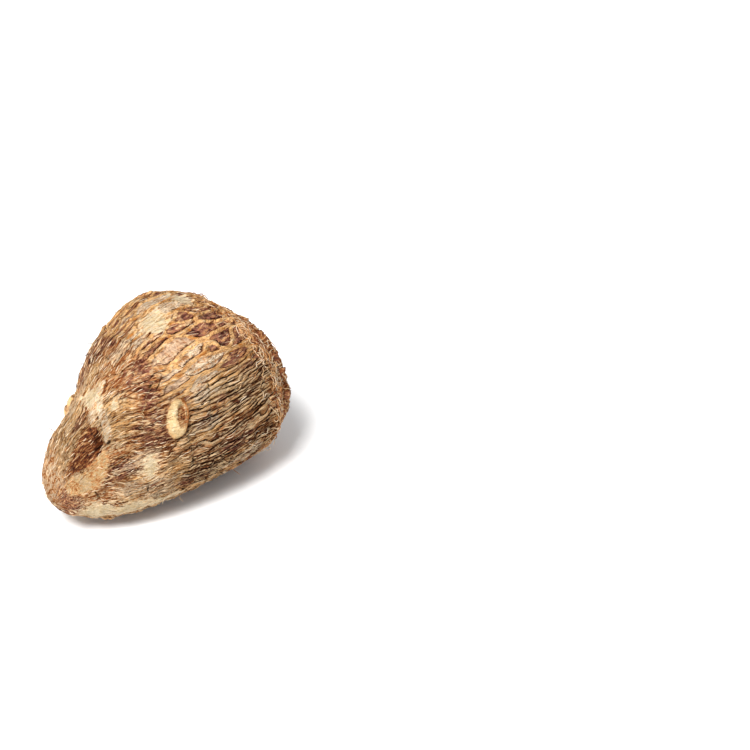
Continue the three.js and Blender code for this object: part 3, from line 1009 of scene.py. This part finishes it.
    # Smooth rubbed patches, with fibres left across their edges.
    mottled = 0.4 * clumps + 0.3 * crumbs + 0.3 * hairs
    honey_mask = ease(field["honeyed"] + 0.5 * (uneven - 0.5), 0.25, 0.6)
    coat(honey_mask * 0.95, ramp(mottled, (0.1, BARK), (0.3, TAN), (0.55, HONEY), (0.9, ASH)))
    cream_mask = 1.3 * field["cream"] + 0.8 * (uneven - 0.5) + 0.35 * (blots - 0.5) - 0.2 * fine_groove_shade
    cream_mask = ease(cream_mask, 0.36, 0.92)
    coat(cream_mask * 0.95, ramp(mottled, (0, HONEY), (0.25, BUTTER), (0.6, CREAM)))
    worn = paint.math("MAXIMUM", honey_mask, cream_mask)
    coat(dark_end * worn * 0.2, TAN)

    # Buds: a crease all round painted dark as shade, a pale bean with a painted highlight on its top, and a
    # rolled shoot in its cup.
    along_bud, round_bud, rubbed = paint.parts(paint.vector("bud"))
    clump, crumb = clumps - 0.5, crumbs - 0.5
    from_middle = paint.hypotenuse(along_bud, round_bud) + 0.09 * clump + 0.06 * crumb
    cup_along, cup_round = (along_bud - CUP_AWAY) / CUP_WIDE, round_bud / CUP_LONG
    from_cup = paint.hypotenuse(cup_along, cup_round) + 0.16 * clump + 0.14 * crumb
    coil = from_cup * 1.8 + paint.math("ARCTAN2", cup_round, cup_along) * (1 / (2 * math.pi))
    coil = 2 * paint.math("PINGPONG", coil, 0.5)
    bean = ease(from_middle, 1.06, 0.98)
    # Painted shade in the crease round the bean.
    bud_crease_shade = ease(from_middle, 1.32, 1.16) * ease(from_middle, 1.0, 1.1)
    coat(bud_crease_shade * 0.75 * broad, UMBER)
    # Paler towards the bean's middle, as a painted highlight on its top; darker towards the cup's side.
    rim_tone = 0.4 * clumps + 0.3 * crumbs + 0.3 * ease(from_middle, 1.05, 0.7)
    rim_tone -= 0.45 * ease(along_bud, 0.1, 0.75)
    rim = ramp(rim_tone, (0, BARK), (0.15, TAN), (0.38, HONEY), (0.75, BUTTER), (1, CREAM))
    coat(bean * rubbed * 0.94, rim)
    cup_tone = 0.3 * coil + 0.34 * from_cup + 0.4 * hairs
    cup = ramp(cup_tone, (0.14, SOIL_AND_SHADE), (0.3, RED_BARK), (0.46, RUST), (0.7, GOLD), (0.95, STRAW))
    in_cup = ease(from_cup, 1.08, 0.92) * (0.25 + 0.75 * rubbed)
    coat(in_cup * 0.94, cup)

    # The old shoot's hollow with its forked lip, a painted shadow under the lip, and pits painted
    # dark inside as shade.
    hollow_tone = 0.6 * fibres + 0.4 * hairs
    bottom = ramp(
        hollow_tone, (0.05, SOIL_AND_SHADE), (0.25, PLUM), (0.5, RED_BARK), (0.72, RUST), (0.95, GOLD)
    )
    coat(ease(field["hollow"] + 0.4 * (fibres - 0.5), 0.3, 0.5) * 0.95, bottom)
    # Painted shadow under the lip.
    under_lip = ease(field["under_lip"] + 0.3 * (hairs - 0.5), 0.3, 0.75)
    coat(under_lip * 0.85, mix(fibres, SOIL_AND_SHADE, UMBER))
    lip_tone = 0.4 * clumps + 0.6 * hairs
    lip = ramp(lip_tone, (0.02, BARK), (0.14, TAN), (0.32, STRAW), (0.7, WHITISH))
    coat(ease(field["from_lip"] + 0.45 * (uneven - 0.5), 1.8, 1.0) * 0.92, lip)
    # Painted shade: the pits are near black inside.
    coat(ease(field["pits"], 0.25, 0.75) * 0.9, SOIL_AND_SHADE)

    # The dry cut of the stump, with the leaf bases' edges.
    cut_tone = 0.45 * clumps + 0.55 * crumbs
    cut_colour = ramp(cut_tone, (0.1, UMBER), (0.3, BARK), (0.5, TAN), (0.85, STRAW))
    arc = ease(field["from_arc"] + 0.4 * crumbs, 0.85, 0.45)
    coat(field["cut"] * 0.95, mix(arc * 0.9, cut_colour, SOIL_AND_SHADE))

    roughness = 0.72 + 0.1 * hairs - 0.18 * worn
    relief = 0.45 * fibres + 0.42 * hairs + 0.15 * flecks - 0.5 * groove_shade - 0.45 * fine_groove_shade - 0.2 * worn
    relief = relief * (1 - 0.9 * bean) * (1 - 0.85 * field["tip"]) * (1 - 0.6 * worn)
    relief += in_cup * (0.5 * coil + 0.3 * hairs - 0.3)
    relief += 0.4 * field["tip"] * (0.5 * crumbs + 0.5 * clumps)
    relief = relief - 0.5 * crease_shade - 0.25 * dark_end + 0.3 * pale_end + 0.15 * fold_highlight + 0.2 * fine_fold_highlight
    return paint.finish(paint.skin, roughness, relief, distance=1.5, gloss=0.03)


corm.data.materials.append(skin_material())

# %% [markdown]
# ## Fibres
#
# The skin is covered in short ends of fibre that lie almost flat and catch the light. They could be hair
# particles, but a corm needs them at known places and as real meshes. So each fibre is a three-sided tube
# with pointed ends, walked over the skin a step at a time, and thousands of them are worked out together.

# %% Places on the finished skin
cell_along = np.gradient(corm_points, axis=0)
cell_round = np.roll(corm_points, -1, axis=1) - np.roll(corm_points, 1, axis=1)
skin_normals = unit(np.cross(cell_round, cell_along))


def read_skin(field, length, turn):
    """A field of the grid at any lengths and turns, blended between its four nearest grid points."""
    row = np.clip(length / row_step, 0, ROWS - 1e-6)
    column = turn / (2 * np.pi) * COLUMNS
    row_share, column_share = row % 1, column % 1
    if field.ndim == 3:
        row_share, column_share = row_share[..., None], column_share[..., None]
    row, column = np.floor(row).astype(int), np.floor(column).astype(int) % COLUMNS
    beside = (column + 1) % COLUMNS
    near = field[row, column] * (1 - column_share) + field[row, beside] * column_share
    far = field[row + 1, column] * (1 - column_share) + field[row + 1, beside] * column_share
    return near * (1 - row_share) + far * row_share


def walk(length, turn, heading, curl, size, steps):
    """Paths over the skin, one a row: each step goes on by an equal share of the size in the direction of
    the heading, which turns by the curl. Headings are angles from the direction of the grain."""
    stride = size / (steps - 1)
    lengths_walked, turns_walked = [length], [turn]
    for number in range(steps - 1):
        radius = np.maximum(radius_at(lengths_walked[-1]), 3)
        lengths_walked.append(np.clip(lengths_walked[-1] + stride * np.cos(heading), 1, SKIN_LENGTH - 1))
        turns_walked.append(turns_walked[-1] + stride * np.sin(heading) / radius)
        heading = heading + curl[:, number]
    return np.stack(lengths_walked, axis=1), np.stack(turns_walked, axis=1)


TUBE_SIDES = 3


def tubes(name, paths, radius, shade):
    """Tubes along many paths at once, with pointed ends, and a shade for each. Each ring of a tube stands
    across its path; its radius grows from nothing at one end to full in the middle and shrinks again to
    the other."""
    count, steps = paths.shape[:2]
    ahead = unit(np.gradient(paths, axis=1))
    side = unit(np.cross(ahead, (0.31, 0.17, 0.94)))  # any direction that few fibres run in
    upward = np.cross(ahead, side)
    share = np.linspace(0, 1, steps)
    swell = radius[:, None] * (4 * share * (1 - share)) ** 0.4
    angle = np.arange(TUBE_SIDES) * 2 * np.pi / TUBE_SIDES
    ring = side[:, :, None] * np.cos(angle)[:, None] + upward[:, :, None] * np.sin(angle)[:, None]
    tube_rings = paths[:, :, None] + swell[:, :, None, None] * ring
    inner = tube_rings[:, 1:-1].reshape(count, -1, 3)
    points = np.concatenate([paths[:, :1], inner, paths[:, -1:]], axis=1)
    per_tube = points.shape[1]
    offset = (np.arange(count) * per_tube)[:, None, None]
    groups = closed_grid_faces(steps - 1, TUBE_SIDES)
    faces = [(group + offset).reshape(-1, group.shape[1]) for group in groups]
    tube_piece = new_piece(name, points.reshape(-1, 3), faces, {"shade": np.repeat(shade, per_tube)})
    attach(tube_piece, "root")
    return tube_piece


def scatter(count, likely, seed):
    """Lengths and turns of so many random points of the skin, drawn from all the grid's points with
    chances that follow a field and the area round each grid point."""
    drawn = np.random.default_rng(seed)
    chance = (np.clip(likely, 0, None) * radii).ravel()
    picked = drawn.choice(chance.size, count, p=chance / chance.sum())
    row, column = np.divmod(picked, COLUMNS)
    length = (row + drawn.uniform(-0.5, 0.5, count)) * row_step
    turn = (column + drawn.uniform(-0.5, 0.5, count)) * 2 * np.pi / COLUMNS
    return np.clip(length, 1, SKIN_LENGTH - 1), turn


CLEAR_OF_FLOOR = 0.26  # more than the radius of the thickest fibre


def lay(length, turn, lift):
    """Points on the skin, lifted along its normal by so many millimetres, and kept above the floor."""
    points = read_skin(corm_points, length, turn) + lift[..., None] * read_skin(skin_normals, length, turn)
    points[..., 2] = np.maximum(points[..., 2], CLEAR_OF_FLOOR)
    return points


# %% Short fibres all over the skin
FIBRE_STEPS = 6
FIBRE_ARCH = 0.1  # how high a fibre's middle stands, on the average
LOOSE_SHARE, LOOSE_RISE = 0.07, 1.1  # how many fibres lift at one end, and how high at most
FEET_SUNK = 0.03


def skin_fibres(name, count, likely, shades, sizes, thickness, seed):
    """Short fibres that run with the grain, their middles a little off the skin. Shades are the lowest and
    highest place in the colour ramp, sizes the shortest and longest length."""
    drawn = np.random.default_rng(seed)
    length, turn = scatter(count, likely, seed + 1)
    heading = drawn.normal(0, 0.16, count) + np.pi * (drawn.uniform(0, 1, count) < 0.5)
    heading += read_skin(grain_heading, length, turn)
    curl = drawn.normal(0, 0.06, (count, 1)) + drawn.normal(0, 0.07, (count, FIBRE_STEPS))
    size = drawn.uniform(*sizes, count)
    along, around = walk(length, turn, heading, curl, size, FIBRE_STEPS)
    share = np.linspace(0, 1, FIBRE_STEPS)
    height = FIBRE_ARCH * drawn.exponential(1, count)[:, None] * 4 * share * (1 - share)
    loose = (drawn.uniform(0, 1, count) < LOOSE_SHARE)[:, None]
    loose = loose * drawn.uniform(0, LOOSE_RISE, (count, 1)) * share**2
    paths = lay(along, around, height + loose - FEET_SUNK)
    radius = thickness * drawn.uniform(0.6, 1.4, count)
    return tubes(name, paths, radius, drawn.uniform(*shades, count))


not_smooth = (1 - 0.85 * smooth_worn) * (1 - 0.8 * on_bud) * (1 - 0.8 * crown)
on_tip_half = 1 - 0.75 * on_crown_half
on_brown, on_gold = 0.3 + step(purple, 0.2, 0.6), 0.2 + on_crown_half
skin_pieces = [
    skin_fibres("pale_fibres", 1200, not_smooth * on_tip_half, (0.6, 1), (1.5, 4.5), 0.16, 400),
    skin_fibres("brown_fibres", 600, not_smooth * on_brown, (0, 0.5), (2, 6), 0.14, 410),
    skin_fibres("gold_fibres", 600, not_smooth * on_gold, (0.45, 0.95), (2.5, 8), 0.15, 420),
]

# %% Curly fibres of the crown
CROWN_STEPS = 10
HIGHEST_ARCH = 2.4


def crown_fibres(name, count, likely, across, shades, sizes, thickness, arch, seed):
    """Longer fibres that curl. Across is how far they turn from the grain: a quarter turn lays them round
    the corm, as the torn edges of leaf bases do."""
    drawn = np.random.default_rng(seed)
    length, turn = scatter(count, likely, seed + 1)
    way = np.where(drawn.uniform(0, 1, count) < 0.5, 1, -1)
    heading = way * drawn.normal(across, 0.4, count)
    curl = drawn.normal(0, 0.16, (count, 1)) + drawn.normal(0, 0.17, (count, CROWN_STEPS))
    size = drawn.uniform(*sizes, count)
    along, around = walk(length, turn, heading, curl, size, CROWN_STEPS)
    share = np.linspace(0, 1, CROWN_STEPS)
    height = arch * drawn.exponential(1, count)[:, None] * np.sin(np.pi * share) ** 0.7
    paths = lay(along, around, np.clip(height, 0, HIGHEST_ARCH))
    radius = thickness * drawn.uniform(0.6, 1.4, count)
    return tubes(name, paths, radius, drawn.uniform(*shades, count))


rim_here = bell(rings - 120, 5) + 0.15 * bell(rings - 131, 4) + 0.08 * bell(rings - 141, 4)
rim_here *= 1 - cut
rim_fibres = crown_fibres("rim_fibres", 1700, rim_here, 1.35, (0.1, 1), (3, 10), 0.17, 0.3, 440)
crown_here = step(rings, 112, 130) * (1 - cut)
sheath_fibres = crown_fibres("sheath_fibres", 450, crown_here, 0.15, (0, 0.7), (3, 10), 0.12, 0.12, 450)

# %% [markdown]
# ## Rootlets
#
# A few thin roots are left here and there, broken off short. They stand out from the skin and bend as they
# like, so their paths leave the skin: each starts under it, goes outwards, and wanders.

# %% Loose roots
# Each place: ring, turn, how many, length, and a shade.
ROOT_PLACES = [
    (66, 118, 7, 4, 0.75), (92, 122, 6, 5, 0.5), (112, 108, 5, 8, 0.8), (62, -56, 7, 5, 0.05),
    (24, -60, 4, 4, 0.1), (84, -62, 5, 4, 0.3), (8, 90, 5, 3, 0.3), (100, -60, 5, 5, 0.4),
    (48, 158, 6, 5, 0.5), (78, 186, 8, 6, 0.4), (58, 236, 7, 5, 0.6), (96, 222, 8, 6, 0.3),
    (34, 262, 6, 4, 0.5), (108, 300, 7, 6, 0.5), (117, 40, 8, 6, 0.6), (118, 250, 10, 7, 0.6),
]
ROOT_STEPS, ROOT_RADIUS = 8, 0.14


def loose_roots():
    """Roots from around each place: a walk through the air that begins along the skin's normal, and drops
    a little at each step."""
    drawn = np.random.default_rng(470)
    many = [place[2] for place in ROOT_PLACES]
    ring, degrees, _, size, shade = np.repeat(ROOT_PLACES, many, axis=0).T
    count = len(ring)
    turn = np.radians(degrees) + drawn.normal(0, 0.09, count)
    length = ring + lean(ring, turn) + drawn.normal(0, 4, count)
    length = np.clip(length, 3, SKIN_LENGTH - 14)
    foot = lay(length[:, None], turn[:, None], np.full((count, 1), -0.3))[:, 0]
    normal = read_skin(skin_normals, length, turn)
    size *= drawn.uniform(0.4, 1.3, count)
    heading = 0.7 * normal + drawn.normal(0, 0.6, (count, 3))
    bends = np.cumsum(drawn.normal(0, 0.3, (count, ROOT_STEPS - 1, 3)), axis=1) + (0, 0, -0.1)
    strides = unit(heading[:, None] + bends) * (size / (ROOT_STEPS - 1))[:, None, None]
    paths = np.concatenate([foot[:, None], foot[:, None] + np.cumsum(strides, axis=1)], axis=1)
    paths[..., 2] = np.maximum(paths[..., 2], 1.6 * ROOT_RADIUS)
    radius = ROOT_RADIUS * drawn.uniform(0.6, 1.5, count)
    return tubes("rootlets", paths, radius, shade + drawn.uniform(-0.15, 0.2, count))


skin_pieces.append(loose_roots())

# %% [markdown]
# ## Old leaf bases
#
# Where a leaf grew, a scrap of its sheath is left: a thin, stiff scale, rooted in the skin on the tip's
# side and torn to a ragged edge on the crown's side, where it stands a little off the next one. Each is a
# patch of the skin's own grid, lifted more and more towards its free edge, with an underside of its own.

# %% Scales
SCALE_ROUND, SCALE_ALONG = 15, 7
# Rings of scales: ring, how many, half width, length, and rise of the free edge.
SCALE_RINGS = [
    (119, 22, 3.6, 6, 0.3), (125, 20, 3.8, 8, 0.6), (132, 18, 3.8, 8, 0.9), (140, 14, 3.4, 8, 0.9),
    (149, 9, 3, 7, 0.8),
]
SCALES_SEED = 460


def sheath_scales(name):
    """Scales in rings round the crown. The free edge is ragged with noise, and the underside follows the
    upper one closely."""
    drawn = np.random.default_rng(SCALES_SEED)
    many = [row[1] for row in SCALE_RINGS]
    ring, _, half, long, rise = np.repeat(SCALE_RINGS, many, axis=0).T[:, :, None, None]
    count = len(ring)
    share = np.concatenate([np.arange(each) / each for each in many])[:, None, None]
    around = share * 2 * np.pi + drawn.normal(0, 0.13, (count, 1, 1))
    across = np.linspace(-1, 1, SCALE_ROUND)
    out = np.linspace(0, 1, SCALE_ALONG)[:, None]
    number = np.arange(count)[:, None, None]
    half *= drawn.uniform(0.6, 1.3, (count, 1, 1))
    long *= drawn.uniform(0.5, 1.3, (count, 1, 1))
    ragged = noise(vectors(number * 5.3, across * half * 0.8, 0 * out), SCALES_SEED + 1)
    curl = noise(vectors(number * 3.1, across * 1.4, out), SCALES_SEED + 2)
    reach = long * out * (0.8 + 0.35 * ragged - 0.25 * across**2)
    base = ring + lean(ring, around) + drawn.normal(0, 1.3, (count, 1, 1))
    length = np.clip(base + reach, 2, SKIN_LENGTH - 2)
    turn = around + across * half * (1 - 0.6 * out**1.5) / radius_at(base)
    lift = -0.25 + (0.4 + rise * (0.8 + 0.8 * curl)) * out**1.3 * (1 - 0.5 * across**2)
    thickness = 0.14 + 0.3 * (1 - out) * (1 - across**2)
    upper = lay(length, turn, lift + thickness)
    lower = lay(length, turn, lift)
    points = np.concatenate([upper.reshape(count, -1, 3), lower.reshape(count, -1, 3)], axis=1)
    layer = SCALE_ALONG * SCALE_ROUND
    grid = np.arange(layer).reshape(SCALE_ALONG, SCALE_ROUND)
    top = vectors(grid[:-1, :-1], grid[:-1, 1:], grid[1:, 1:], grid[1:, :-1]).reshape(-1, 4)
    border = np.concatenate([grid[0, :-1], grid[:-1, -1], grid[-1, :0:-1], grid[:0:-1, 0]])
    onward = np.roll(border, -1)
    sides = vectors(border, border + layer, onward + layer, onward)
    faces = np.concatenate([top, top[:, ::-1] + layer, sides])
    faces = (faces + (np.arange(count) * 2 * layer)[:, None, None]).reshape(-1, 4)
    shade = np.repeat(drawn.uniform(0.1, 0.8, count), 2 * layer)
    place = grain_of(length, turn, radius_at(length))
    grain_there = np.concatenate([place.reshape(count, -1, 3)] * 2, axis=1).reshape(-1, 3)
    free = np.tile((out + 0 * across).ravel(), 2 * count)
    fields = {"shade": shade, "grain": grain_there, "free": free}
    scales = new_piece(name, points.reshape(-1, 3), [faces], fields)
    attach(scales, "root")
    return scales


leaf_bases = sheath_scales("leaf_bases")


def leaf_base_material():
    """Each scale has its own tone of red-brown, streaked along the grain, and pales to a dry edge."""
    paint = Paint("leaf_base")
    grain = paint.vector("grain")
    fibres = paint.grainy(grain, 0.8, 9, 0.32, 0.68, detail=4, roughness=0.65)
    hairs = paint.grainy(grain, 0.3, 4, 0.32, 0.68, roughness=0.6)
    free = paint.number("free")
    shade = 0.25 * paint.number("shade") + 0.4 * fibres + 0.35 * hairs + 0.35 * (free * free - 0.45)
    colour = paint.ramp(
        shade, (0.08, SOIL_AND_SHADE), (0.22, UMBER), (0.34, RED_BARK), (0.5, BARK), (0.68, TAN), (0.95, STRAW)
    )
    return paint.finish(colour, 0.66, 0.6 * fibres + 0.4 * hairs, distance=0.5, gloss=0.2)


leaf_bases.data.materials.append(leaf_base_material())

# %% The finish of the fibres


def fibre_material(name, *stops):
    """Each fibre keeps one tone from end to end, with a little noise along it."""
    paint = Paint(name)
    place = paint.node("ShaderNodeTexCoord", output="Object")
    mottle = paint.node("ShaderNodeTexNoise", {}, {"Vector": place, "Scale": 900, "Detail": 2.0})
    shade = paint.number("shade") + 0.35 * (mottle - 0.5)
    return paint.finish(paint.ramp(shade, *stops), 0.7, mottle, distance=0.05, gloss=0.2)


dry_fibre = fibre_material(
    "dry_fibre", (0, SOIL_AND_SHADE), (0.2, UMBER), (0.4, BARK), (0.58, TAN), (0.75, STRAW), (1, WHITISH)
)
red_fibre = fibre_material("red_fibre", (0, SOIL_AND_SHADE), (0.25, RED_BARK), (0.5, RUST), (0.75, TAN), (1, STRAW))
rim_fibre = fibre_material(
    "rim_fibre", (0, SOIL_AND_SHADE), (0.2, RED_BARK), (0.4, AMBER), (0.58, GOLD), (0.76, STRAW), (1, WHITISH)
)
for piece in skin_pieces:
    piece.data.materials.append(dry_fibre)
rim_fibres.data.materials.append(rim_fibre)
sheath_fibres.data.materials.append(red_fibre)

# %% [markdown]
# ## Floor, light and camera
#
# The corm lies on a white sheet in soft light, with the main lamp high on the left of the camera. A bright
# sky all round fills the shadows, so that only the ground close under the belly goes dark.

# %% Floor
FLOOR_HALF = 3000
floor_corners = np.array([(-1, -1, 0), (1, -1, 0), (1, 1, 0), (-1, 1, 0)]) * FLOOR_HALF
floor = new_piece("floor", floor_corners, [np.array([[0, 1, 2, 3]])], smooth=False)
sheet = Paint("white_sheet")
floor.data.materials.append(sheet.finish((1, 1, 1, 1), 0.9, 0.0, distance=0.1, gloss=0.5))

# %% Light


def look_from(name, data, aim, azimuth, elevation, distance):
    """Puts a lamp or a camera so many metres from the point it looks at, at a compass bearing and a height
    in degrees."""
    holder = bpy.data.objects.new(name, data)
    bearing, height = math.radians(azimuth), math.radians(elevation)
    holder.location = (
        aim[0] + distance * math.sin(bearing) * math.cos(height),
        aim[1] - distance * math.cos(bearing) * math.cos(height),
        aim[2] + distance * math.sin(height),
    )
    holder.rotation_euler = (math.pi / 2 - height, 0, bearing)
    bpy.context.collection.objects.link(holder)
    return holder


lamp = bpy.data.lights.new("key_lamp", "AREA")
lamp.shape, lamp.size, lamp.energy = "SQUARE", 0.6, 38.5
look_from("key_lamp", lamp, (0, 0, 0), azimuth=-70, elevation=58, distance=1.6)
sky = bpy.data.worlds.new("studio")
sky.use_nodes = True
sky.node_tree.nodes["Background"].inputs["Color"].default_value = (1, 1, 1, 1)
sky.node_tree.nodes["Background"].inputs["Strength"].default_value = 0.58
bpy.context.scene.world = sky
bpy.context.scene.view_settings.view_transform = "Standard"

# %% Camera
AIM = (0.124, -0.018, 0)  # metres; the corm lies left of the middle of the view
camera_data = bpy.data.cameras.new("camera")
camera_data.lens = 98.2
camera = look_from("camera", camera_data, AIM, azimuth=-46.6, elevation=35, distance=1.0)
bpy.context.scene.camera = camera
